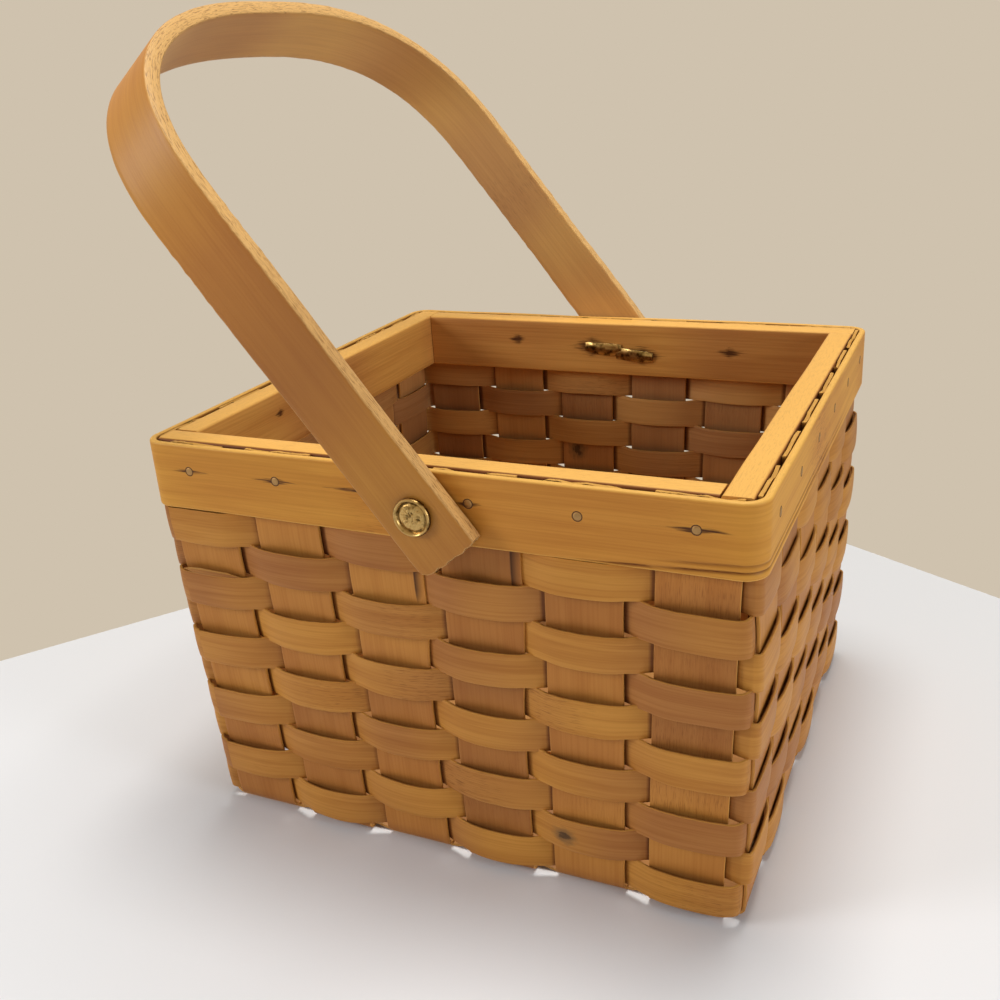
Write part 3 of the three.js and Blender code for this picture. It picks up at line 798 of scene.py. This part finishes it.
def rim_board(wall, name):
    """Sawn board with soft edges and a slightly wavy inner face, in the place of its CAD node."""
    low, high = (corner / MM - Vector((BASKET_X, 0, 0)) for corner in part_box(f"rim_board_{name}"))
    axis = wall % 2
    length, thickness, height = high[axis] - low[axis], high[1 - axis] - low[1 - axis], high.z - low.z
    across, out, around = strip_section(height, thickness, BOARD_EASE, across=8, arc=3)
    x = np.linspace(-length / 2, length / 2, 120)
    wave = ripple(x / 30, 70 + wall, 0.25)
    places = np.zeros((len(x), len(across), 3))
    places[..., 0] = x[:, None]
    places[..., 1] = -out[None, :] + wave[:, None] * (out[None, :] < 0)
    places[..., 2] = across[None, :]
    places = turned(places, wall) + np.array((low + high) / 2)
    inner = np.argmin(out + abs(across))
    slot = slot_shade_mark(out, thickness, 0.75 if name == "front" else 0.5)
    piece = bent_strip(
        f"inner_rim_board_{name}", places, x, around, BOARD_WOOD, shift=(wall * 613, wall * 71),
        # Painted shade on the face towards the stakes, in the slot, where no pale edge shows
        edge=edge_mark(across, height, BOARD_EASE) * (1 - slot), dirt=0.8 * slot,
        # inside: a painted shade tint on the inner face
        inside=0.25 * (out < 0)[None, :],
        **stain_marks(places[:, inner], places[..., 2], BOARD_STAINS[name]))
    settle(piece, "basket", "board_wood", f"rim_board_{name}")


# Handle: a steam-bent strip with rounded tails

HANDLE_LEAN = math.radians(38)
HANDLE_THICKNESS = 5.6
HANDLE_WIDTH = 23.9
HANDLE_EASE = 0.6
HANDLE_REACH = 184.4
HANDLE_STRAIGHT = 110.6
HANDLE_TAIL = 18.2
HANDLE_GAP = 1
TAIL_CORNER = 4.0
ARCH_FULLNESS = 2.59


def handle_line():
    """Line of the upright handle, seen from the side, up from the front tail and down to the back one. The
    bow is a fuller arch than half an ellipse."""
    side = RIM_HALF[0] + HANDLE_GAP + HANDLE_THICKNESS / 2
    rise = HANDLE_REACH - HANDLE_THICKNESS / 2 - HANDLE_STRAIGHT
    legs = np.concatenate([[-HANDLE_TAIL], np.linspace(-HANDLE_TAIL + 0.35, HANDLE_STRAIGHT, 60)[:-1]])
    angle = np.linspace(0, math.pi, 97)
    power = 2 / ARCH_FULLNESS
    arch = np.stack([-side * np.sign(np.cos(angle)) * np.abs(np.cos(angle)) ** power,
                     HANDLE_STRAIGHT + rise * np.abs(np.sin(angle)) ** power], -1)
    left = np.stack([np.full_like(legs, -side), legs], -1)
    return np.concatenate([left, arch, (left * (-1, 1))[::-1]])


def tail_cut(line, across):
    """How much is off the tails across their width: a ragged cut with round corners, rounder on the left."""
    past = np.clip(np.abs(across) - (HANDLE_WIDTH / 2 - TAIL_CORNER), 0, TAIL_CORNER)
    rounding = (TAIL_CORNER - np.sqrt(TAIL_CORNER ** 2 - past ** 2 * 0.98)) * np.where(across < 0, 1, 0.35)
    jagged = rounding + np.abs(ripple(across / 1.3, 83, 1.7))
    near_tail = smooth_step(1 - (line[:, 1] + HANDLE_TAIL) / 12) * (line[:, 1] < 0)
    return near_tail[:, None] * jagged[None, :]


def handle():
    """Handle, leaning to the left on its pivots, with splintered edges and painted shade low on its front
    leg.
    """
    line = handle_line()
    along = distances(line)
    across, out, around = strip_section(HANDLE_WIDTH, HANDLE_THICKNESS, HANDLE_EASE, across=14, arc=2)
    splinters = ripple(along / 2.1, 82, 0.3) * np.clip(1 + ripple(along / 60, 84, 1.6), 0.2, 1)
    uneven = ripple(along / 45, 81, 0.5) + splinters
    x = across[None, :] + uneven[:, None] * np.sign(across) * np.abs(2 * across / HANDLE_WIDTH)[None, :] ** 3
    flat = line[:, None] - normals(line)[:, None] * out[None, :, None]
    y, z = flat[..., 0], flat[..., 1] + tail_cut(line, across)
    c, s = math.cos(HANDLE_LEAN), math.sin(HANDLE_LEAN)
    places = np.stack([c * x - s * z, y, s * x + c * z], -1) + np.array(PIVOT)
    cut_end = np.zeros((len(line), 1))
    cut_end[[0, -1]] = 1
    # Painted shade: the front leg is darker towards its tail, by this mark and by its tone, as little light
    # reaches there
    leg = 0.25 * smooth_step((HANDLE_STRAIGHT - np.abs(line[:, 1])) / 60)[:, None]
    piece = bent_strip(
        "bentwood_handle", places, along, around, HANDLE_WOOD, shift=(4000, 900),
        edge=np.maximum(edge_mark(across, HANDLE_WIDTH, HANDLE_EASE), cut_end),
        # inside: a painted shade tint on the inner face
        dirt=leg * (line[:, :1] < 0), inside=0.8 * (out < 0)[None, :],
        tone=np.interp(along, (30, 120), (-0.8, 0))[:, None])
    settle(piece, "handle", "handle_wood", "handle")


# Metal: nails with flat heads, and the two split fasteners

def outward(wall):
    """Turn that lays a thing made along Z onto a wall, facing out."""
    return Matrix.Rotation(wall * math.pi / 2, 4, "Z") @ Matrix.Rotation(math.pi / 2, 4, "X")


def turned_metal(name, profile, steps, material):
    """Round metal thing: a profile of (radius, height) points from the axis to the axis, spun round Z."""
    mesh = bpy.data.meshes.new(name)
    points = [(radius * MM, 0, height * MM) for radius, height in profile]
    mesh.from_pydata(points, [(i, i + 1) for i in range(len(profile) - 1)], [])
    piece = bpy.data.objects.new(name, mesh)
    bpy.context.collection.objects.link(piece)
    start_edit(piece)
    bpy.ops.mesh.spin(steps=steps, angle=2 * math.pi, center=(0, 0, 0), axis=(0, 0, 1))
    bpy.ops.mesh.select_all(action="SELECT")
    bpy.ops.mesh.remove_doubles(threshold=0.01 * MM)
    end_edit(smooth_under=35)
    mesh.materials.append(material)
    return piece


def copy_to(model, name, place, node):
    """Copy of a metal thing with a mesh of its own, in its place on the basket, for a CAD node."""
    piece = model.copy()
    piece.data = model.data.copy()
    piece.name = piece.data.name = name
    bpy.context.collection.objects.link(piece)
    piece.data.transform(place)
    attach(piece, "basket")
    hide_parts(node)


# A flat head of 1.3 mm radius, and the dark ring round it: grime, and painted shade of the gap round the head
NAIL_PROFILE = [(0, 0.14), (0.7, 0.13), (1.1, 0.09), (1.28, 0.0), (1.3, -0.1), (1.36, 0.02), (1.7, 0.015),
                (1.75, -0.3), (0, -0.3)]
GRIME_AND_SHADE_START = 1.29


def nails():
    """Flat round heads, driven nearly flush, each in a thin dark ring of grime and painted shade: one made,
    and 24 copied.
    """
    model = turned_metal("rim_nail", NAIL_PROFILE, 20, NAIL_BRASS)
    model.data.materials.append(GRIME_AND_GAP_SHADE)
    for face in model.data.polygons:
        face.material_index = int(face.center.xy.length > GRIME_AND_SHADE_START * MM)
    for wall, name in enumerate(WALL_NAMES):
        for number in range(1, STAKE_COUNT + 1):
            low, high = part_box(f"nail_{name}_{number}")
            middle = (low + high) / 2
            middle[1 - wall % 2] = (RIM_LOW if wall in (0, 3) else RIM_HIGH)[1 - wall % 2] * MM
            place = Matrix.Translation(middle) @ outward(wall)
            copy_to(model, f"rim_nail_{name}_{number}", place, f"nail_{name}_{number}")
    bpy.data.objects.remove(model)


HEAD_HEIGHT = 1.7
HEAD_PROFILE = [(0, 1.2), (0.5, 1.2), (1.0, 1.19), (1.5, 1.17), (2.0, 1.14), (2.5, 1.1), (3.0, 1.05),
                (3.5, 0.97), (3.9, 0.88), (4.2, 0.77), (4.5, 0.62), (4.75, 0.52), (4.95, 0.6), (5.15, 0.95),
                (5.4, 1.35), (5.7, 1.55), (6.0, 1.5), (6.25, 1.25), (6.42, 0.85), (6.4, 0.3), (6.0, 0.05),
                (2.0, 0.0), (0, 0)]
LEG_WIDTH = 5.6
LEG_THICKNESS = 0.9
LEG_OVERLAP = 1.2
LEG_EASE = 0.2
SHANK_RADIUS = 1.7


def set_tarnish_and_shade(piece, values):
    """Marks how far each point of a metal piece lies in a hollow, where it tarnishes; on the fastener's head
    the mark is partly painted shade.
    """
    hollow = piece.data.attributes.new("hollow", "FLOAT", "POINT")
    hollow.data.foreach_set("value", np.float32(values))


def fastener_head():
    """Round stamped head: a raised rim, a hollow and a slightly domed middle with a plain hammered finish."""
    head = turned_metal("fastener", HEAD_PROFILE, 64, FASTENER_BRASS)
    hollows = []
    for vertex in head.data.vertices:
        place = vertex.co / MM
        reach = place.xy.length
        hammered = noise.noise(Vector((place.x, place.y, 3.0)) * 1.3) + 0.6 * noise.noise(place * 2.9)
        hammered *= max(0, 1 - (reach / 4.6) ** 4) * (place.z > 0.4)
        vertex.co.z += 0.4 * hammered * MM
        # Painted shade, partly tarnish: the groove round the dome and the rim's outer foot count as hollows,
        # which the brass darkens
        ring = np.interp(reach, (4.2, 4.6, 4.9, 5.2, 6.2, 6.4), (0, 0.8, 0.8, 0, 0, 1))
        hollows.append(ring + max(0, -1.6 * hammered))
    set_tarnish_and_shade(head, hollows)
    return head


def fastener_leg(side, depth, reach):
    """Flat leg that comes through the board, humps where it turns and is beaten down to one side."""
    middle = Vector((side * (reach - LEG_OVERLAP) / 2, 0, LEG_THICKNESS / 2 - depth))
    size = Vector((reach + LEG_OVERLAP, LEG_WIDTH, LEG_THICKNESS))
    bpy.ops.mesh.primitive_cube_add(size=1, location=middle * MM, scale=size * MM)
    leg = bpy.context.active_object
    only(leg)
    bpy.ops.object.transform_apply(location=True, rotation=True, scale=True)
    start_edit(leg)
    bpy.ops.mesh.subdivide(number_cuts=7)
    bpy.ops.object.mode_set(mode="OBJECT")
    half_width = LEG_WIDTH / 2
    for vertex in leg.data.vertices:
        along = max(0, side * vertex.co.x / (reach * MM))
        across = vertex.co.y / (half_width * MM)
        hump = 1.3 * math.sin(min(1, along) * 2.9) ** 2 + 0.5 * (1 - across ** 2) - 0.5
        dent = 0.35 * noise.noise(vertex.co / MM * 0.6)
        vertex.co.z -= (hump + dent) * MM
        vertex.co.y = (across * half_width * (1 - 0.3 * along ** 4) + side * (0.6 + 1.3 * along)) * MM
    soft = leg.modifiers.new("soft edge", "BEVEL")
    soft.width, soft.segments = LEG_EASE * MM, 2
    bpy.ops.object.modifier_apply(modifier=soft.name)
    leg.data.materials.append(FASTENER_BRASS)
    set_tarnish_and_shade(leg, np.full(len(leg.data.vertices), 0.5))
    return leg


def split_fasteners():
    """Fasteners like paper fasteners: a head outside and two flat legs spread inside the board."""
    depth = FASTENER_HIGH.y - FASTENER_LOW.y - HEAD_HEIGHT
    reach = (FASTENER_HIGH.x - FASTENER_LOW.x) / 2
    model = fastener_head()
    parts = [fastener_leg(side, depth, reach) for side in (-1, 1)]
    bpy.ops.mesh.primitive_cylinder_add(vertices=16, radius=SHANK_RADIUS * MM, depth=depth * MM,
                                        location=(0, 0, -depth / 2 * MM))
    shank = bpy.context.active_object
    only(shank)
    bpy.ops.object.transform_apply(location=True, rotation=True, scale=True)
    shank.data.materials.append(FASTENER_BRASS)
    bpy.ops.object.select_all(action="DESELECT")
    for part in (*parts, shank, model):
        part.select_set(True)
    bpy.context.view_layer.objects.active = model
    bpy.ops.object.join()
    bpy.ops.object.shade_smooth_by_angle(angle=math.radians(35))
    for name, wall, end, out in (("front", 0, 0, -1), ("back", 2, 1, 1)):
        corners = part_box(f"split_fastener_{name}")
        seat = corners[end].y - out * HEAD_HEIGHT * MM
        centre = Vector(((corners[0].x + corners[1].x) / 2, seat, PIVOT.z * MM))
        place = Matrix.Translation(centre) @ outward(wall)
        copy_to(model, f"split_fastener_of_{name}", place, f"split_fastener_{name}")
    bpy.data.objects.remove(model)


# Camera, table and lights

def camera():
    """Camera of the photograph: close above the near right corner, tilted a little to the left."""
    place = Vector((BASKET_X + 160.9, -378.8, 271.0)) * MM
    yaw, pitch, roll = math.radians(25.59), math.radians(22.11), math.radians(-3.79)
    ahead = Vector((-math.sin(yaw) * math.cos(pitch), math.cos(yaw) * math.cos(pitch), -math.sin(pitch)))
    right = Vector((math.cos(yaw), math.sin(yaw), 0))
    up = right.cross(ahead)
    rolled_right = right * math.cos(roll) + up * math.sin(roll)
    rolled_up = up * math.cos(roll) - right * math.sin(roll)
    bpy.ops.object.camera_add(location=place)
    cam = bpy.context.active_object
    axes = Matrix((rolled_right, rolled_up, -ahead)).transposed()
    cam.matrix_world = Matrix.Translation(place) @ axes.to_4x4()
    cam.data.sensor_width = 36
    cam.data.lens = 39.74
    cam.data.clip_start = 0.01
    bpy.context.scene.camera = cam


def table():
    """Pale table top whose two far edges run as the photograph's, meeting behind the basket."""
    far_corner = Vector((-43.5, 292))
    left_way, right_way = Vector((-0.585, -0.811)), Vector((0.873, -0.487))
    reach = 1600
    left, right = far_corner + left_way * reach, far_corner + right_way * reach
    near = left + right_way * reach
    corners = {(-0.5, -0.5): far_corner, (0.5, -0.5): left, (0.5, 0.5): near, (-0.5, 0.5): right}
    bpy.ops.mesh.primitive_plane_add(size=1)
    top = bpy.context.active_object
    top.name = top.data.name = "table_top"
    for vertex in top.data.vertices:
        place = corners[round(vertex.co.x, 1), round(vertex.co.y, 1)]
        vertex.co = ((place.x + BASKET_X) * MM, place.y * MM, 0)
    # Laminate with a satin finish: an even pale grey that keeps a soft shadow
    top.data.materials.append(plain_material("pale laminate", "#e2e2e2", 0.5))
    start_edit(top)
    end_edit()


def lamp(name, place, aim, size, power, colour):
    """Round lamp at a place in metres, aimed at another."""
    bpy.ops.object.light_add(type="AREA", location=place)
    light = bpy.context.active_object
    light.name = name
    light.rotation_euler = (Vector(aim) - Vector(place)).to_track_quat("-Z", "Y").to_euler()
    light.data.shape = "DISK"
    light.data.size = size
    light.data.energy = power
    light.data.color = linear(colour)[:3]


def lights():
    """Soft light from the ceiling and from both sides, faint light from all round, and a plain beige backdrop
    that the camera, metal and glass see."""
    lamp("ceiling_light", (0.03, 0.2, 1.6), (0, 0, 0.08), 0.7, 18, "#fffefc")
    lamp("left_window", (-1.2, -0.9, 0.7), (0, 0, 0.08), 0.6, 9.6, "#f8f9ff")
    lamp("right_window", (1.6, -0.3, 0.55), (0, 0, 0.1), 0.6, 9.6, "#f0f5ff")
    world = bpy.data.worlds.new("studio")
    bpy.context.scene.world = world
    world.use_nodes = True
    tree = world.node_tree
    tree.nodes.clear()
    seen = add_node(tree, "ShaderNodeLightPath", output="Is Camera Ray")
    for other in ("Is Glossy Ray", "Is Transmission Ray"):
        ray = add_node(tree, "ShaderNodeLightPath", output=other)
        seen = add_node(tree, "ShaderNodeMath", {0: seen, 1: ray}, operation="MAXIMUM")
    fill = add_node(tree, "ShaderNodeBackground", {"Color": "#fffdf9", "Strength": 0.28})
    backdrop = add_node(tree, "ShaderNodeBackground", {"Color": "#cfc2ae", "Strength": 1.0})
    mix = add_node(tree, "ShaderNodeMixShader", {0: seen, 1: fill, 2: backdrop})
    add_node(tree, "ShaderNodeOutputWorld", {"Surface": mix}, output=None)


camera()
table()
lights()
for row in range(1, ROWS + 1):
    weaver(row)
sliver()
for kind in (0, 1):
    for number in range(1, STAKE_COUNT + 1):
        stake(kind, number)
rim_band()
for wall, name in enumerate(WALL_NAMES):
    rim_board(wall, name)
nails()
handle()
split_fasteners()

bpy.context.scene.view_settings.view_transform = "Standard"
